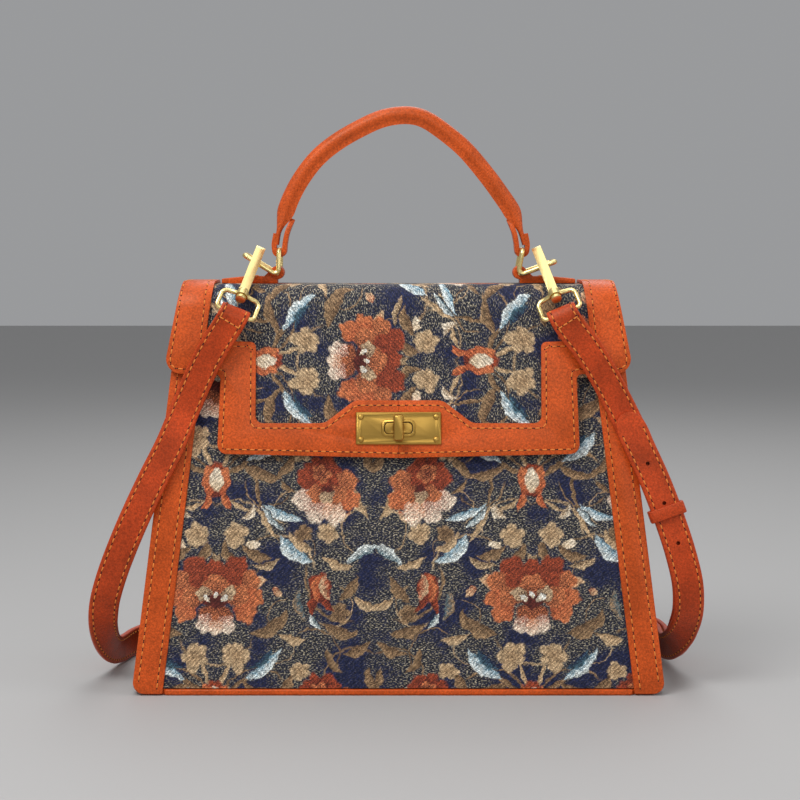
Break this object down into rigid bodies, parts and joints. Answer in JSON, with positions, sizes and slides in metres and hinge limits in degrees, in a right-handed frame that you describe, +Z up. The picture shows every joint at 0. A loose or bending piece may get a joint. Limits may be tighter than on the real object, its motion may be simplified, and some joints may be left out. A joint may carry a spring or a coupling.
{
  "type": "top-handle bag",
  "caption": "Structured top-handle bag in floral jacquard with orange leather bands, a flap with a turn lock, a rolled handle and a buckled shoulder strap on lever snap hooks.",
  "frame": {"origin": "centre of the base, on the face the bag stands on", "axes": "+X to the viewer's right seen from the front, +Y to the back, +Z up"},
  "size_m": [0.3323, 0.149, 0.3148],
  "materials": {
    "jacquard_fabric": "matte",
    "body_leather": "satin",
    "strap_leather": "satin",
    "lining_leather": "matte",
    "lining_cloth": "matte",
    "handle_cord": "matte",
    "lock_brass": "satin",
    "polished_gold_plate": "polished"
  },
  "bodies": {
    "body": {"front_panel": "jacquard_fabric", "back_panel": "jacquard_fabric", "base_panel": "body_leather", "band_front_left": "body_leather", "band_front_right": "body_leather", "band_back_left": "body_leather", "band_back_right": "body_leather", "gusset_left": "jacquard_fabric", "gusset_right": "jacquard_fabric", "lining": "lining_cloth", "flap_lining": "lining_leather", "flap": "jacquard_fabric", "flap_trim_left": "body_leather", "flap_trim_right": "body_leather", "lock_front_plate": "lock_brass", "lock_back_plate": "lock_brass", "lock_rivets": "lock_brass", "lock_base_plate": "lock_brass", "lock_inner_washer": "lock_brass", "handle_tab_left": "body_leather", "handle_tab_right": "body_leather", "eye_left": "polished_gold_plate", "eye_right": "polished_gold_plate", "strap_long": "strap_leather", "strap_short": "strap_leather", "strap_keeper": "strap_leather", "buckle_frame": "polished_gold_plate", "buckle_prong": "polished_gold_plate"},
    "knob": {"turn_knob": "lock_brass"},
    "ring_l": {"ring_left": "polished_gold_plate"},
    "ring_r": {"ring_right": "polished_gold_plate"},
    "handle": {"handle_cover": "body_leather", "handle_core": "handle_cord"},
    "hook_l": {"hook_left": "polished_gold_plate", "gate_pin_left": "polished_gold_plate"},
    "hook_r": {"hook_right": "polished_gold_plate", "gate_pin_right": "polished_gold_plate"},
    "gate_l": {"gate_left": "polished_gold_plate"},
    "gate_r": {"gate_right": "polished_gold_plate"}
  },
  "joints": [
    {"name": "knob_turn", "type": "hinge", "parent": "body", "child": "knob", "pos_m": [0, -0.03571, 0.1398], "axis": [0, -0.9852, 0.1711], "range_deg": [0, 90]},
    {"name": "ring_left_sway", "type": "hinge", "parent": "body", "child": "ring_l", "pos_m": [-0.0666, 0, 0.2232], "axis": [0, 1, 0], "range_deg": [-12.5, 3]},
    {"name": "ring_right_sway", "type": "hinge", "parent": "body", "child": "ring_r", "pos_m": [0.0666, 0, 0.2232], "axis": [0, 1, 0], "range_deg": [-12.7, 3.2]},
    {"name": "handle_on_left_ring", "type": "hinge", "parent": "ring_l", "child": "handle", "pos_m": [-0.06541, 0, 0.23559], "axis": [0, 1, 0], "range_deg": [-3.2, 12.7]},
    {"name": "hook_left_swivel", "type": "hinge", "parent": "body", "child": "hook_l", "pos_m": [-0.08367, -0.0356, 0.21215], "axis": [0.2055, 0.7602, 0.6164], "range_deg": [-8, 8]},
    {"name": "hook_right_swivel", "type": "hinge", "parent": "body", "child": "hook_r", "pos_m": [0.08367, -0.0356, 0.21215], "axis": [-0.2055, 0.7602, 0.6164], "range_deg": [-8, 8]},
    {"name": "gate_left_press", "type": "hinge", "parent": "hook_l", "child": "gate_l", "pos_m": [-0.08323, -0.02834, 0.21441], "axis": [0.9197, 0.0653, -0.3871], "range_deg": [0, 9], "stiffness_Nm_per_rad": 0.003, "springref_deg": -5.73},
    {"name": "gate_right_press", "type": "hinge", "parent": "hook_r", "child": "gate_r", "pos_m": [0.08323, -0.02834, 0.21441], "axis": [0.9197, -0.0653, 0.3871], "range_deg": [0, 9], "stiffness_Nm_per_rad": 0.003, "springref_deg": -5.73}
  ],
  "couplings": [
    {"joint": "ring_right_sway", "follows": "ring_left_sway", "ratio": 1},
    {"joint": "handle_on_left_ring", "follows": "ring_left_sway", "ratio": -1}
  ]
}
